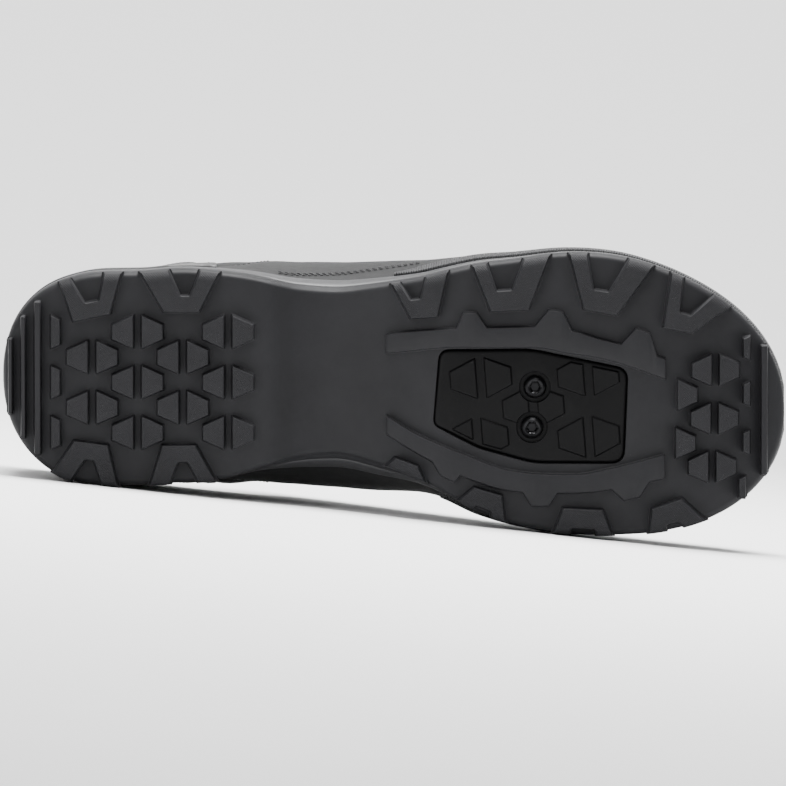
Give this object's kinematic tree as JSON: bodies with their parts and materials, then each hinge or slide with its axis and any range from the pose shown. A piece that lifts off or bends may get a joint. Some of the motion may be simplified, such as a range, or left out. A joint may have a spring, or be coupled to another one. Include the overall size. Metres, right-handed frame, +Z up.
{
  "type": "cycling shoe",
  "caption": "Right mountain-bike cycling shoe with lugged rubber sole, recessed cleat cover and hook-and-loop straps, lying on its side.",
  "frame": {"origin": "on the floor under the middle of the shoe's box, as it lies on its medial side", "axes": "+X from heel to toe, +Y from the sole towards the top of the foot, +Z up from the medial side to the lateral side"},
  "size_m": [0.272, 0.1102, 0.0995],
  "materials": {
    "outsole": "matt, dark charcoal, fine stipple on the lugs",
    "midsole": "smooth, satin",
    "cleat_cover": "matt black",
    "bolt": "black oxide",
    "insole": "knitted cover",
    "upper": "smooth grey microfibre",
    "tongue": "padded mesh",
    "heel_counter": "satin moulded overlay",
    "rand": "finely ribbed",
    "strap": "hook-and-loop webbing"
  },
  "bodies": {
    "root": {"outsole": "outsole", "midsole": "midsole", "cleat_cover": "cleat_cover", "cover_bolt_lateral": "bolt", "cover_bolt_medial": "bolt", "insole": "insole", "upper": "upper", "tongue": "tongue", "heel_counter": "heel_counter", "rand": "rand", "strap_front": "strap", "strap_middle": "strap", "strap_top": "strap"}
  },
  "joints": []
}
